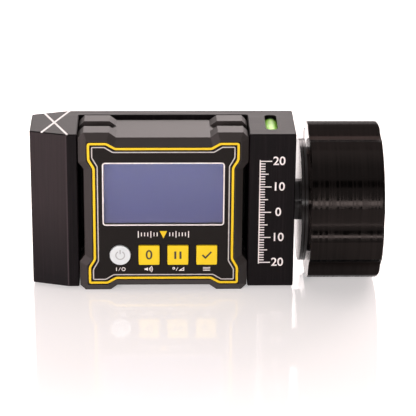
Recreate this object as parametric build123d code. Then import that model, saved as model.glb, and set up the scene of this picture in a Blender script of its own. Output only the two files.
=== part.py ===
from build123d import *
import os
from math import cos, hypot, pi, sin, sqrt

# Camber gauge: a billet block that carries a digital level and a cross vial, and a scalloped
# magnetic adapter that turns on a spindle at its right-hand end. Millimetres.
# x runs along the spindle, y from the display side to the rear, z up. The origin is the middle
# of the footprint at the height of the table: the level's feet touch z = 0.

# Fits shared by all pieces
overrun = 1.0
seat_gap = 0.02
slide_gap = 0.15
trim_gap = 0.3

# Block
block_depth = 25.8
block_lift = 1.2
block_top_set = 0.8
block_edge = 0.35
end_taper_run = 13.2
end_taper_set = 4.0
pocket_start = 17.25
spindle_end_width = 16.95
pocket_wall = 4.8
pad_thickness = 0.6

# Sight lines cut in the top of the tapered end, for the steering sweep
sight_width = 0.7
sight_depth = 0.25
sight_angle = 22.0
sight_inset = 8.6

# Cross level vial and the slot above it
vial_inset = 8.5
vial_radius = 3.0
vial_length = 19.0
vial_wall = 0.7
vial_cover = 0.9
vial_slot_width = 4.4
vial_slot_length = 15.6
vial_slot_round = 1.7
vial_cushion = 0.4
vial_plug_sink = 0.4
vial_plug_socket = 2.5
vial_plug_socket_depth = 1.4
bubble_length = 4.6
bubble_radius = 1.3
bubble_shift = 3.0

# Spindle, brake discs and pivot bolt
spindle_drop = 0.4
neck_radius = 7.65
neck_length = 1.95
spigot_radius = 6.9
spigot_length = 6.0
shoulder_radius = 5.0
running_gap = 0.05
disc_set = 6.4
disc_thickness = 1.0
disc_gap = 0.3
brake_inner_radius = 9.0
brake_edge = 2.7
brake_thickness = 0.4
brake_recess = 0.3
bolt_thread_radius = 4.0
bolt_thread_length = 9.0
bolt_head_radius = 8.0
bolt_head_height = 6.0
bolt_socket = 6.0
bolt_socket_depth = 3.5
bush_wall = 2.0
thrust_radius = 10.0
thrust_thickness = 1.0
spring_radius = 9.5
spring_thickness = 0.7
spring_height = 1.3
spring_gap = 0.15

# Scalloped magnetic adapter
adapter_radius = 29.1
boss_set = 9.7
boss_height = 0.8
adapter_length = 26.4
adapter_round = 1.2
adapter_back_edge = 0.25
grip_count = 3
grip_angle = -19.0
scallop_spread = 21.0
scallop_half_angle = 12.7
scallop_depth = 2.2
rim_width = 10.2
web_thickness = 6.0
mouth_edge = 0.8
magnet_count = 9
magnet_radius = 3.9
magnet_thickness = 6.0
clutch_screw_count = 3
clutch_screw_set = 4.5
clutch_screw_radius = 1.2
clutch_screw_head = 2.2
clutch_screw_length = 5.0
clutch_socket = 1.5
clutch_socket_depth = 0.6

# Digital level case
unit_width = 61.6
unit_height = 62.0
unit_proud = 2.0
corner_cut = 2.0
bump_rise = 1.9
bump_slope = 2.6
waist_half = 17.0
bezel_inset = 2.7
front_flange = 6.8
flange_groove = 5.2
rear_bevel = 2.0
case_wall = 1.8
label_thickness = 0.5
label_rim = 0.15
gasket_width = 0.8
gasket_inset = 0.5

# Display
window_side = 8.6
window_height = 24.6
window_thickness = 1.2
window_round = 1.2
window_ledge = 0.55
window_rise = 7.8
lcd_side_lap = 0.3
lcd_rise_lap = 0.7
lcd_thickness = 2.0
backlight_side_inset = 1.0
backlight_rise_inset = 1.4
frame_wall = 1.0
zebra_inset = 2.5
zebra_thickness = 1.0

# Keys
key_count = 4
key_pitch = 10.6
key_size = 7.6
key_round = 0.4
key_proud = 0.6
key_drop = 16.1
key_flange = 0.75
key_flange_thickness = 0.8
key_stem = 1.5
key_stem_length = 0.9
switch_size = 4.6
switch_height = 1.5
plunger_radius = 1.1
plunger_height = 0.5

# Circuit board and what sits on it
board_depth = 4.3
board_margin = 0.8
board_thickness = 1.2
chip_size = 9.0
chip_thickness = 1.1
chip_across = 10.0
sensor_size = 4.0
sensor_thickness = 1.0
sensor_across = 11.0
crystal_length = 6.0
crystal_radius = 0.65
buzzer_radius = 4.6
buzzer_height = 4.0
buzzer_rise = 19.5
buzzer_hole = 0.8

# Batteries and their bay
cell_radius = 5.25
cell_length = 43.3
cell_nose_radius = 1.9
cell_nose_length = 1.2
cell_play = 0.15
contact_room = 2.2
contact_thickness = 0.4
contact_width = 8.0
contact_spring_radius = 2.6
bay_wall = 1.0
bay_floor = 0.8
cover_thickness = 1.0
cover_lap = 0.9
cover_reach = 6.4
cover_screw_radius = 1.0
cover_screw_head = 1.9
cover_screw_head_height = 0.6
cover_screw_length = 5.0
cover_screw_inset = 2.6

# Case and mounting fasteners
post_radius = 2.4
case_screw_radius = 1.05
case_screw_head = 2.0
case_screw_head_height = 1.5
case_screw_length = 17.5
mount_across = 13.0
mount_inset = 3.9
mount_screw_radius = 1.45
mount_head_radius = 2.75
mount_head_height = 3.0
mount_socket = 2.5
mount_socket_depth = 1.5
mount_screw_length = 6.2
insert_radius = 2.3
insert_length = 5.0
insert_boss_wall = 1.3
rear_window_margin = 0.6
cross_slot_width = 0.6
cross_slot_depth = 0.5
cross_share = 0.7

# Magnets in the feet
foot_magnet_radius = 2.5
foot_magnet_thickness = 1.9
foot_magnet_sink = 0.15

# Adapter's circles
boss_radius = adapter_radius - boss_set
cavity_radius = adapter_radius - rim_width
magnet_circle = adapter_radius - rim_width / 2
clutch_screw_circle = boss_radius - clutch_screw_set
disc_radius = adapter_radius - disc_set
brake_outer_radius = disc_radius - brake_edge

# Widths that follow the level
pocket_width = unit_width + 2 * trim_gap
block_width = pocket_start + pocket_width + spindle_end_width
window_width = unit_width - 2 * window_side
lcd_width = window_width + 2 * lcd_side_lap
lcd_height = window_height + 2 * lcd_rise_lap
backlight_width = lcd_width - 2 * backlight_side_inset
backlight_height = lcd_height - 2 * backlight_rise_inset
zebra_length = lcd_width - 2 * zebra_inset

# Places along the spindle
disc_pair = 2 * disc_thickness + disc_gap
overall_length = block_width + neck_length + disc_pair + boss_height + adapter_length
block_left = -overall_length / 2
block_right = block_left + block_width
disc_start = block_right + neck_length
clutch_start = disc_start + disc_thickness + disc_gap
boss_start = clutch_start + disc_thickness
adapter_start = boss_start + boss_height
adapter_end = adapter_start + adapter_length
cavity_start = adapter_start + web_thickness
spring_start = cavity_start + thrust_thickness + spring_gap
head_start = spring_start + spring_height

# Places through the depth
block_front = -block_depth / 2
block_back = block_depth / 2
pocket_back = block_back - pocket_wall
unit_back = pocket_back - pad_thickness
panel_face = block_front - unit_proud
wall_inside = panel_face + case_wall
board_face = wall_inside + board_depth
board_back = board_face + board_thickness
flange_end = block_front + front_flange
rear_flange_start = flange_end + flange_groove
bevel_start = unit_back - rear_bevel
parting = (flange_end + rear_flange_start) / 2
back_inside = unit_back - case_wall
cover_face = unit_back - cover_thickness
cell_y = back_inside - cell_play - cell_radius
bay_floor_face = cell_y - cell_radius - cell_play

# Places across and up the level
block_height = unit_height - block_lift - block_top_set
block_top = block_lift + block_height
spindle_height = block_lift + block_height / 2 - spindle_drop
pocket_left = block_left + pocket_start
pocket_right = pocket_left + pocket_width
unit_x = (pocket_left + pocket_right) / 2
unit_z = unit_height / 2
half_width = unit_width / 2
half_height = unit_height / 2
waist_width = half_width - bump_rise
waist_height = half_height - bump_rise
inner_width = waist_width - case_wall
inner_height = waist_height - case_wall
post_x = inner_width - post_radius - trim_gap
post_z = inner_height - post_radius - trim_gap
mount_rise = inner_height - mount_inset
board_width = 2 * (inner_width - board_margin)
board_height = 2 * (inner_height - board_margin)
window_z = unit_z + window_rise
key_z = unit_z - key_drop
bay_half_length = cell_length / 2 + cell_nose_length / 2 + contact_room
bay_half_height = 2 * (cell_radius + cell_play)
cover_half_length = bay_half_length + cover_lap
cover_half_height = bay_half_height + cover_reach
cover_screw_z = cover_half_height - cover_screw_inset
vial_x = block_right - vial_inset
vial_bore = vial_radius + seat_gap
vial_z = block_top - vial_cover - vial_bore
vial_front = -vial_length / 2
vial_back = vial_front + vial_length


def span(x_range, y_range, z_range):
    """Box between the low and high values given on each axis."""
    middle = [(low + high) / 2 for low, high in (x_range, y_range, z_range)]
    size = [high - low for low, high in (x_range, y_range, z_range)]
    return Pos(*middle) * Box(*size)


def around(middle, half):
    """Low and high value of a span given by its middle and half size."""
    return (middle - half, middle + half)


def rod_x(radius, start, end, y=0, z=spindle_height):
    """Cylinder along x, on the spindle's axis unless told otherwise."""
    return Pos((start + end) / 2, y, z) * Rot(0, 90, 0) * Cylinder(radius, end - start)


def rod_y(radius, start, end, x, z):
    """Cylinder along y."""
    return Pos(x, (start + end) / 2, z) * Rot(90, 0, 0) * Cylinder(radius, end - start)


def rod_z(radius, start, end, x, y):
    """Cylinder along z."""
    return Pos(x, y, (start + end) / 2) * Cylinder(radius, end - start)


def facing(y):
    """Plane at depth y whose normal points at the reader, with x right and z up."""
    return Plane(origin=(unit_x, y, unit_z), x_dir=(1, 0, 0), z_dir=(0, -1, 0))


def plate(outline, front, back):
    """Prism of a closed outline about the level's middle, between two depths."""
    face = make_face(Polyline(*outline, close=True))
    return extrude(facing(back) * face, amount=back - front)


def rounded_plate(width, height, radius, front, back, x, z):
    """Rounded rectangular prism between two depths, centred at x and z."""
    face = RectangleRounded(width, height, radius)
    return extrude(facing(back) * Pos(x - unit_x, z - unit_z) * face, amount=back - front)


def mirrored(quarter):
    """Whole outline from the points of its upper right quarter, read clockwise."""
    lower_right = [(x, -z) for x, z in reversed(quarter)]
    right = quarter + lower_right
    left = [(-x, z) for x, z in reversed(right)]
    return right + left


def inset(outline, distance):
    """Outline with every edge moved inwards by one distance, corners kept sharp."""
    count = len(outline)
    lines = []
    for index in range(count):
        (ax, az), (bx, bz) = outline[index], outline[(index + 1) % count]
        run = hypot(bx - ax, bz - az)
        nx, nz = (bz - az) / run, (ax - bx) / run
        lines.append((nx, nz, nx * ax + nz * az - distance))
    moved = []
    for index in range(count):
        a1, b1, c1 = lines[index - 1]
        a2, b2, c2 = lines[index]
        cross = a1 * b2 - a2 * b1
        moved.append(((c1 * b2 - c2 * b1) / cross, (a1 * c2 - a2 * c1) / cross))
    return moved


def clockwise(outline):
    """The same outline, read so that its inside lies on the right."""
    area = sum(a[0] * b[1] - b[0] * a[1] for a, b in zip(outline, outline[1:] + outline[:1]))
    return outline if area < 0 else outline[::-1]


def flange_outline():
    """Outline of a flange: a square with cut corners and a shallow recess in each side."""
    ramp = waist_half + bump_slope
    return mirrored([
        (waist_half, waist_height),
        (ramp, half_height),
        (half_width - corner_cut, half_height),
        (half_width, half_height - corner_cut),
        (half_width, ramp),
        (waist_width, waist_half),
    ])


def waist_outline():
    """Outline of the case between its flanges."""
    return mirrored([(waist_width - corner_cut, waist_height), (waist_width, waist_height - corner_cut)])


def shrink(outline, distance):
    """Inset of an outline, whichever way round it was written."""
    ordered = clockwise(outline)
    return [(x, z) for x, z in inset([(-x, z) for x, z in ordered], distance)][::-1]


def hexagon(across_flats, start, end):
    """Hexagonal prism along z, between two heights."""
    face = RegularPolygon(across_flats / sqrt(3), 6)
    return Pos(0, 0, start) * extrude(face, amount=end - start)


def socket_screw(head_radius, head_height, radius, length, socket, socket_depth):
    """Cap screw with its head's seat at the origin and its shank along +z."""
    body = Pos(0, 0, -head_height / 2) * Cylinder(head_radius, head_height)
    body += Pos(0, 0, length / 2) * Cylinder(radius, length)
    return body - hexagon(socket, -head_height - overrun, socket_depth - head_height)


def slotted_screw(head_radius, head_height, radius, length):
    """Cross-slotted pan screw with its head's seat at the origin and its shank along +z."""
    body = Pos(0, 0, -head_height / 2) * Cylinder(head_radius, head_height)
    body += Pos(0, 0, length / 2) * Cylinder(radius, length)
    reach = 2 * head_radius * cross_share
    for turn in (0, 90):
        slot = Box(reach, cross_slot_width, 2 * cross_slot_depth)
        body -= Pos(0, 0, -head_height) * Rot(0, 0, turn) * slot
    return body


def at_level(x, y, z):
    """Point given from the level's middle, with its screw pointing out at the reader."""
    return Pos(unit_x + x, y, unit_z + z) * Rot(90, 0, 0)


def corners(x, z):
    """Four places mirrored about the level's middle."""
    return [(sx * x, sz * z) for sx in (-1, 1) for sz in (-1, 1)]


def key_places():
    """Centre of each key, from left to right."""
    return [unit_x + key_pitch * (step - (key_count - 1) / 2) for step in range(key_count)]


def scallop_radius():
    """Radius of the arc that reaches the scallop's depth between its two edges."""
    angle = scallop_half_angle * pi / 180
    half_chord = adapter_radius * sin(angle)
    rise = scallop_depth - adapter_radius * (1 - cos(angle))
    return (half_chord ** 2 + rise ** 2) / (2 * rise)


def make_block():
    front_end = block_front + end_taper_set
    back_end = block_back - end_taper_set
    taper_end = block_left + end_taper_run
    plan = make_face(Polyline(
        (block_left, front_end), (taper_end, block_front), (block_right, block_front),
        (block_right, block_back), (taper_end, block_back), (block_left, back_end), close=True))
    body = Pos(0, 0, block_lift) * extrude(plan, amount=block_height)
    body -= span((pocket_left, pocket_right), (block_front - overrun, pocket_back),
                 (block_lift - overrun, block_top + overrun))
    body = chamfer(body.edges(), block_edge)
    body -= span(around(unit_x, cover_half_length + rear_window_margin),
                 (pocket_back - overrun, block_back + overrun),
                 around(unit_z, cover_half_height + rear_window_margin))
    seat = block_back - mount_head_height - seat_gap
    for x, z in corners(mount_across, mount_rise):
        place = (unit_x + x, unit_z + z)
        body -= rod_y(mount_screw_radius + slide_gap, pocket_back - overrun, block_back, *place)
        body -= rod_y(mount_head_radius + slide_gap, seat, block_back + overrun, *place)
    body -= rod_x(spigot_radius + seat_gap, block_right - spigot_length, block_right + overrun)
    thread_end = block_right - spigot_length - bolt_thread_length
    body -= rod_x(bolt_thread_radius + seat_gap, thread_end - overrun, block_right)
    body -= rod_y(vial_bore, vial_front - vial_cushion, block_back + overrun, vial_x, vial_z)
    slot = RectangleRounded(vial_slot_width, vial_slot_length, vial_slot_round)
    body -= Pos(vial_x, 0, vial_z) * extrude(slot, amount=block_top)
    for turn in (-sight_angle, sight_angle):
        groove = Box(sight_width, 2 * block_depth, 2 * sight_depth)
        body -= Pos(block_left + sight_inset, 0, block_top) * Rot(0, 0, turn) * groove
    return body


def capsule(radius, start, end, x, z):
    """Round-ended rod along y."""
    body = rod_y(radius, start + radius, end - radius, x, z)
    for y in (start + radius, end - radius):
        body += Pos(x, y, z) * Sphere(radius)
    return body


def make_vial_tube():
    fluid_radius = vial_radius - vial_wall
    body = rod_y(vial_radius, vial_front, vial_back, vial_x, vial_z)
    body = chamfer(body.edges(), vial_wall)
    return body - capsule(fluid_radius, vial_front + vial_wall, vial_back - vial_wall, vial_x, vial_z)


def make_vial_fluid():
    radius = vial_radius - vial_wall - seat_gap
    margin = vial_wall + seat_gap
    body = capsule(radius, vial_front + margin, vial_back - margin, vial_x, vial_z)
    middle = (vial_front + vial_back) / 2 + bubble_shift
    start, end = around(middle, bubble_length / 2)
    return body - capsule(bubble_radius, start, end, vial_x, vial_z + radius - bubble_radius)


def make_vial_cushions():
    front = rod_y(vial_radius - vial_wall, vial_front - vial_cushion, vial_front, vial_x, vial_z)
    back = rod_y(vial_radius - vial_wall, vial_back, vial_back + vial_cushion, vial_x, vial_z)
    return [front, back]


def make_vial_plug():
    start = vial_back + vial_cushion
    end = block_back - vial_plug_sink
    body = rod_y(vial_radius, start, end, vial_x, vial_z)
    socket = Rot(90, 0, 0) * hexagon(vial_plug_socket, -overrun, vial_plug_socket_depth)
    return body - Pos(vial_x, end, vial_z) * socket


def make_spindle_sleeve():
    body = rod_x(spigot_radius, block_right - spigot_length, block_right)
    body += rod_x(neck_radius, block_right, disc_start)
    body += rod_x(disc_radius, disc_start, disc_start + disc_thickness)
    body -= rod_x(shoulder_radius + seat_gap, block_right - spigot_length - overrun,
                  disc_start + disc_thickness + overrun)
    face = disc_start + disc_thickness
    ring = rod_x(brake_outer_radius, face - brake_recess, face + overrun)
    ring -= rod_x(brake_inner_radius, face - brake_recess - overrun, face + 2 * overrun)
    return body - ring


def make_brake_ring():
    start = disc_start + disc_thickness - brake_recess
    body = rod_x(brake_outer_radius - seat_gap, start, start + brake_thickness)
    return body - rod_x(brake_inner_radius + seat_gap, start - overrun, start + brake_thickness + overrun)


def make_pivot_bolt():
    shoulder = block_right - spigot_length
    body = rod_x(shoulder_radius, shoulder, head_start)
    body += rod_x(bolt_thread_radius, shoulder - bolt_thread_length, shoulder)
    body += rod_x(bolt_head_radius, head_start, head_start + bolt_head_height)
    end = head_start + bolt_head_height
    socket = Rot(0, 90, 0) * hexagon(bolt_socket, -bolt_socket_depth, overrun)
    return body - Pos(end, 0, spindle_height) * socket


def make_disc_spring():
    low = spring_start
    high = spring_start + spring_height
    inner = shoulder_radius + running_gap
    profile = make_face(Polyline(
        (low, spring_radius), (low + spring_thickness, spring_radius),
        (high, inner), (high - spring_thickness, inner), close=True))
    return Pos(0, 0, spindle_height) * revolve(profile, axis=Axis.X)


def clutch_places():
    """Angles of the clutch disc's screws about the spindle, in degrees."""
    return [360 * step / clutch_screw_count for step in range(clutch_screw_count)]


def on_circle(radius, degrees):
    """Offset in y and z of a place on a circle about the spindle."""
    angle = degrees * pi / 180
    return (-radius * cos(angle), spindle_height + radius * sin(angle))


def make_clutch_screw(degrees):
    y, z = on_circle(clutch_screw_circle, degrees)
    flare = clutch_screw_head - clutch_screw_radius
    cone = Cone(clutch_screw_radius, clutch_screw_head, flare)
    body = Pos(0, 0, -flare / 2) * cone
    body += Pos(0, 0, -clutch_screw_length / 2) * Cylinder(clutch_screw_radius, clutch_screw_length)
    body -= hexagon(clutch_socket, -clutch_socket_depth, overrun)
    return Pos(clutch_start, y, z) * Rot(0, -90, 0) * body


def make_clutch_disc():
    body = rod_x(disc_radius, clutch_start, boss_start)
    body -= rod_x(shoulder_radius + bush_wall + seat_gap, clutch_start - overrun, boss_start + overrun)
    for degrees in clutch_places():
        y, z = on_circle(clutch_screw_circle, degrees)
        flare = clutch_screw_head - clutch_screw_radius
        cone = Cone(clutch_screw_radius + seat_gap, clutch_screw_head + seat_gap, flare)
        body -= Pos(clutch_start, y, z) * Rot(0, -90, 0) * Pos(0, 0, -flare / 2) * cone
        body -= rod_x(clutch_screw_radius + seat_gap, clutch_start, boss_start + overrun, y, z)
    return body


def make_bush():
    body = rod_x(shoulder_radius + bush_wall, clutch_start, cavity_start)
    return body - rod_x(shoulder_radius + running_gap, clutch_start - overrun, cavity_start + overrun)


def make_thrust_washer():
    end = cavity_start + thrust_thickness
    body = rod_x(thrust_radius, cavity_start, end)
    return body - rod_x(shoulder_radius + trim_gap, cavity_start - overrun, end + overrun)


def scallop_places():
    """Angles of the scallops' middles: a pair with a narrow lobe between, in each grip."""
    return [grip_angle + 360 * step / grip_count + side * scallop_spread
            for step in range(grip_count) for side in (-1, 1)]


def magnet_places():
    """Angles of the magnets: one in each narrow lobe and two in each wide one."""
    return [grip_angle + 360 * step / magnet_count for step in range(magnet_count)]


def make_adapter():
    low, high = adapter_start, adapter_end
    edge, bend = adapter_back_edge, adapter_round
    arc_share = sqrt(0.5)
    lean = bend * (1 - arc_share)
    profile = make_face(
        Polyline((low, 0), (low, adapter_radius - edge), (low + edge, adapter_radius),
                 (high - bend, adapter_radius))
        + ThreePointArc((high - bend, adapter_radius), (high - lean, adapter_radius - lean),
                        (high, adapter_radius - bend))
        + Polyline((high, adapter_radius - bend), (high, 0), (low, 0)))
    body = Pos(0, 0, spindle_height) * revolve(profile, axis=Axis.X)
    body += rod_x(boss_radius, boss_start, adapter_start)
    cutter = scallop_radius()
    centre = adapter_radius - scallop_depth + cutter
    for degrees in scallop_places():
        y, z = on_circle(centre, degrees)
        body -= rod_x(cutter, low - overrun / 2, high + overrun, y, z)
    body -= rod_x(cavity_radius, cavity_start, high + overrun)
    mouth = Cone(cavity_radius, cavity_radius + mouth_edge, mouth_edge)
    body -= Pos(high - mouth_edge / 2, 0, spindle_height) * Rot(0, 90, 0) * mouth
    body -= rod_x(shoulder_radius + bush_wall + seat_gap, boss_start - overrun, cavity_start + overrun)
    for degrees in magnet_places():
        y, z = on_circle(magnet_circle, degrees)
        body -= rod_x(magnet_radius + seat_gap, high - magnet_thickness, high + overrun, y, z)
    for degrees in clutch_places():
        y, z = on_circle(clutch_screw_circle, degrees)
        tip = clutch_start + clutch_screw_length
        body -= rod_x(clutch_screw_radius + seat_gap, boss_start - overrun, tip + overrun / 2, y, z)
    return body


def make_hub_magnets():
    magnets = []
    for degrees in magnet_places():
        y, z = on_circle(magnet_circle, degrees)
        magnets.append(rod_x(magnet_radius, adapter_end - magnet_thickness, adapter_end, y, z))
    return magnets


def foot_magnet_places():
    """Each foot's side and depth, with the flange that the foot belongs to."""
    across = (waist_half + bump_slope + half_width - corner_cut) / 2
    front = (block_front + flange_end) / 2
    rear = (rear_flange_start + bevel_start) / 2
    return [(unit_x + side * across, depth) for depth in (front, rear) for side in (-1, 1)]


def make_foot_magnets():
    top = foot_magnet_sink + foot_magnet_thickness
    return [rod_z(foot_magnet_radius, foot_magnet_sink, top, x, y) for x, y in foot_magnet_places()]


def foot_pockets(body):
    """Case with the pockets for the magnets in its feet cut out."""
    top = foot_magnet_sink + foot_magnet_thickness
    for x, y in foot_magnet_places():
        body -= rod_z(foot_magnet_radius + seat_gap, -overrun, top, x, y)
    return body


def key_hole(index, grow, front, back):
    """Prism of one key's plan, grown by a clearance: the first key is round."""
    x = key_places()[index]
    if index == 0:
        return rod_y(key_size / 2 + grow, front, back, x, key_z)
    side = key_size + 2 * grow
    return rounded_plate(side, side, key_round + grow, front, back, x, key_z)


def make_front_case():
    outline = flange_outline()
    rim = shrink(outline, bezel_inset)
    outer_face = facing(block_front) * make_face(Polyline(*clockwise(outline), close=True))
    inner_face = facing(panel_face) * make_face(Polyline(*clockwise(rim), close=True))
    body = loft([outer_face, inner_face], ruled=True)
    body += plate(outline, block_front, flange_end)
    body += plate(waist_outline(), flange_end, parting)
    body -= span(around(unit_x, inner_width), (wall_inside, parting + overrun),
                 around(unit_z, inner_height))
    for x, z in corners(post_x, post_z):
        place = (unit_x + x, unit_z + z)
        body += rod_y(post_radius, wall_inside, board_face - seat_gap, *place)
        tip = back_inside - case_screw_length
        body -= rod_y(case_screw_radius + seat_gap, tip, parting, *place)
    body -= plate(shrink(rim, label_rim), panel_face - overrun, panel_face + label_thickness)
    body -= rounded_plate(window_width + 2 * slide_gap, window_height + 2 * slide_gap,
                          window_round + slide_gap, panel_face, panel_face + window_thickness,
                          unit_x, window_z)
    body -= rounded_plate(window_width - 2 * window_ledge, window_height - 2 * window_ledge,
                          window_round - window_ledge, panel_face, wall_inside + overrun,
                          unit_x, window_z)
    for index in range(key_count):
        body -= key_hole(index, slide_gap, panel_face, wall_inside + overrun)
    return foot_pockets(body)


def make_front_label():
    rim = shrink(shrink(flange_outline(), bezel_inset), label_rim + trim_gap)
    body = plate(rim, panel_face, panel_face + label_thickness - seat_gap)
    body -= rounded_plate(window_width + 2 * slide_gap, window_height + 2 * slide_gap,
                          window_round + slide_gap, panel_face - overrun, wall_inside,
                          unit_x, window_z)
    for index in range(key_count):
        body -= key_hole(index, slide_gap, panel_face - overrun, wall_inside)
    return body


def make_window():
    return rounded_plate(window_width, window_height, window_round, panel_face,
                         panel_face + window_thickness - seat_gap, unit_x, window_z)


def make_lcd():
    return span(around(unit_x, lcd_width / 2), (wall_inside + seat_gap, wall_inside + lcd_thickness),
                around(window_z, lcd_height / 2))


def make_backlight():
    return span(around(unit_x, backlight_width / 2),
                (wall_inside + lcd_thickness + seat_gap, board_face - seat_gap),
                around(window_z, backlight_height / 2))


def make_lcd_frame():
    depth = (wall_inside + seat_gap, board_face - seat_gap)
    body = span(around(unit_x, lcd_width / 2 + frame_wall), depth,
                around(window_z, lcd_height / 2 + frame_wall))
    return body - span(around(unit_x, lcd_width / 2 + seat_gap),
                       (wall_inside - overrun, board_face + overrun),
                       around(window_z, lcd_height / 2 + seat_gap))


def make_zebra_strip():
    low = window_z - lcd_height / 2 + seat_gap
    return span(around(unit_x, zebra_length / 2),
                (wall_inside + lcd_thickness + seat_gap, board_face - seat_gap),
                (low, low + zebra_thickness))


def make_board():
    body = span(around(unit_x, board_width / 2), (board_face, board_back),
                around(unit_z, board_height / 2))
    for x, z in corners(post_x, post_z):
        body -= rod_y(case_screw_radius + slide_gap, board_face - overrun, board_back + overrun,
                      unit_x + x, unit_z + z)
    return body


def make_switches():
    switches = []
    for x in key_places():
        base = board_face - switch_height
        body = span(around(x, switch_size / 2), (base, board_face - seat_gap),
                    around(key_z, switch_size / 2))
        switches.append(body + rod_y(plunger_radius, base - plunger_height, base, x, key_z))
    return switches


def make_chip():
    return span(around(unit_x - chip_across, chip_size / 2),
                (board_back + seat_gap, board_back + chip_thickness), around(key_z, chip_size / 2))


def make_tilt_sensor():
    return span(around(unit_x + sensor_across, sensor_size / 2),
                (board_back + seat_gap, board_back + sensor_thickness),
                around(key_z, sensor_size / 2))


def make_crystal():
    return rod_x(crystal_radius, unit_x - crystal_length / 2, unit_x + crystal_length / 2,
                 board_back + seat_gap + crystal_radius, key_z)


def make_buzzer():
    start = board_back + seat_gap
    z = unit_z + buzzer_rise
    body = rod_y(buzzer_radius, start, start + buzzer_height, unit_x, z)
    return body - rod_y(buzzer_hole, start + buzzer_height / 2, start + buzzer_height + overrun,
                        unit_x, z)


def make_key(index):
    front = panel_face - key_proud
    back = wall_inside + slide_gap + key_flange_thickness
    body = key_hole(index, 0, front, back)
    body += key_hole(index, key_flange, wall_inside + slide_gap, back)
    x = key_places()[index]
    return body + rod_y(key_stem, back, back + key_stem_length, x, key_z)


def make_rear_case():
    outline = flange_outline()
    body = plate(waist_outline(), parting, rear_flange_start)
    body += plate(outline, rear_flange_start, bevel_start)
    near = facing(bevel_start) * make_face(Polyline(*clockwise(outline), close=True))
    far = facing(unit_back) * make_face(Polyline(*clockwise(shrink(outline, rear_bevel)), close=True))
    body += loft([near, far], ruled=True)
    body -= span(around(unit_x, inner_width), (parting - overrun, back_inside),
                 around(unit_z, inner_height))
    body += span(around(unit_x, bay_half_length + bay_wall), (bay_floor_face - bay_floor, back_inside),
                 around(unit_z, bay_half_height + bay_wall))
    body -= span(around(unit_x, bay_half_length), (bay_floor_face, unit_back + overrun),
                 around(unit_z, bay_half_height))
    body -= span(around(unit_x, cover_half_length), (cover_face, unit_back + overrun),
                 around(unit_z, cover_half_height))
    groove = plate(shrink(waist_outline(), gasket_inset), parting - overrun, parting + gasket_width)
    groove -= plate(shrink(waist_outline(), gasket_inset + gasket_width), parting - 2 * overrun,
                    parting + gasket_width + overrun)
    body -= groove
    for x, z in corners(post_x, post_z):
        place = (unit_x + x, unit_z + z)
        body += rod_y(post_radius, board_back + seat_gap, back_inside, *place)
        body -= rod_y(case_screw_radius + seat_gap, board_back, unit_back, *place)
        body -= rod_y(case_screw_head + slide_gap, back_inside, unit_back + overrun, *place)
    for x, z in corners(mount_across, mount_rise):
        place = (unit_x + x, unit_z + z)
        depth = unit_back - insert_length
        body += rod_y(insert_radius + insert_boss_wall, depth - insert_boss_wall, back_inside, *place)
        body -= rod_y(insert_radius + seat_gap, depth, unit_back + overrun, *place)
    for side in (-1, 1):
        place = (unit_x, unit_z + side * cover_screw_z)
        tip = cover_face - cover_screw_length
        body += rod_y(2 * cover_screw_radius, tip - bay_wall, cover_face, *place)
        body -= rod_y(cover_screw_radius + seat_gap, tip, unit_back, *place)
    return foot_pockets(body)


def make_gasket():
    body = plate(shrink(waist_outline(), gasket_inset + seat_gap), parting,
                 parting + gasket_width - seat_gap)
    return body - plate(shrink(waist_outline(), gasket_inset + gasket_width - seat_gap),
                        parting - overrun, parting + gasket_width + overrun)


def make_cells():
    cells = []
    for side in (-1, 1):
        z = unit_z + side * (cell_radius + cell_play)
        middle = unit_x - side * cell_nose_length / 2
        body = rod_x(cell_radius, middle - cell_length / 2, middle + cell_length / 2, cell_y, z)
        tip = middle + side * (cell_length / 2 + cell_nose_length)
        start, end = sorted((middle, tip))
        cells.append(body + rod_x(cell_nose_radius, start, end, cell_y, z))
    return cells


def contact_side(side, row):
    """Inner end of the bay where a contact stands, and the height of its cell."""
    return (unit_x + side * bay_half_length, unit_z + row * (cell_radius + cell_play))


def make_contact_springs():
    springs = []
    for row in (-1, 1):
        end, z = contact_side(-row, row)
        cell_end = unit_x - row * (cell_nose_length / 2 + cell_length / 2)
        plate_face = end + row * contact_thickness
        start, stop = sorted((plate_face, cell_end))
        turn = contact_spring_radius - contact_thickness
        body = rod_x(contact_spring_radius, start + seat_gap, stop - seat_gap, cell_y, z)
        springs.append(body - rod_x(turn, start - overrun, stop + overrun, cell_y, z))
    return springs


def make_contact_plates():
    plates = []
    for row in (-1, 1):
        for side in (-1, 1):
            end, z = contact_side(side, row)
            low, high = sorted((end - side * contact_thickness, end - side * seat_gap))
            plates.append(span((low, high), around(cell_y, contact_width / 2),
                               around(z, contact_width / 2)))
    return plates


def make_cover():
    body = span(around(unit_x, cover_half_length - slide_gap), (cover_face + seat_gap, unit_back),
                around(unit_z, cover_half_height - slide_gap))
    for side in (-1, 1):
        place = (unit_x, unit_z + side * cover_screw_z)
        body -= rod_y(cover_screw_radius + slide_gap, cover_face - overrun, unit_back, *place)
        body -= rod_y(cover_screw_head + seat_gap, unit_back - cover_screw_head_height - seat_gap,
                      unit_back + overrun, *place)
    return body


def make_cover_screws():
    seat = unit_back - cover_screw_head_height
    screw = slotted_screw(cover_screw_head, cover_screw_head_height, cover_screw_radius,
                          cover_screw_length)
    return [at_level(0, seat, side * cover_screw_z) * screw for side in (-1, 1)]


def make_case_screws():
    screw = slotted_screw(case_screw_head, case_screw_head_height, case_screw_radius,
                          case_screw_length)
    return [at_level(x, back_inside + seat_gap, z) * screw for x, z in corners(post_x, post_z)]


def make_mount_screws():
    seat = block_back - mount_head_height
    screw = socket_screw(mount_head_radius, mount_head_height, mount_screw_radius,
                         mount_screw_length, mount_socket, mount_socket_depth)
    return [at_level(x, seat, z) * screw for x, z in corners(mount_across, mount_rise)]


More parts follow.
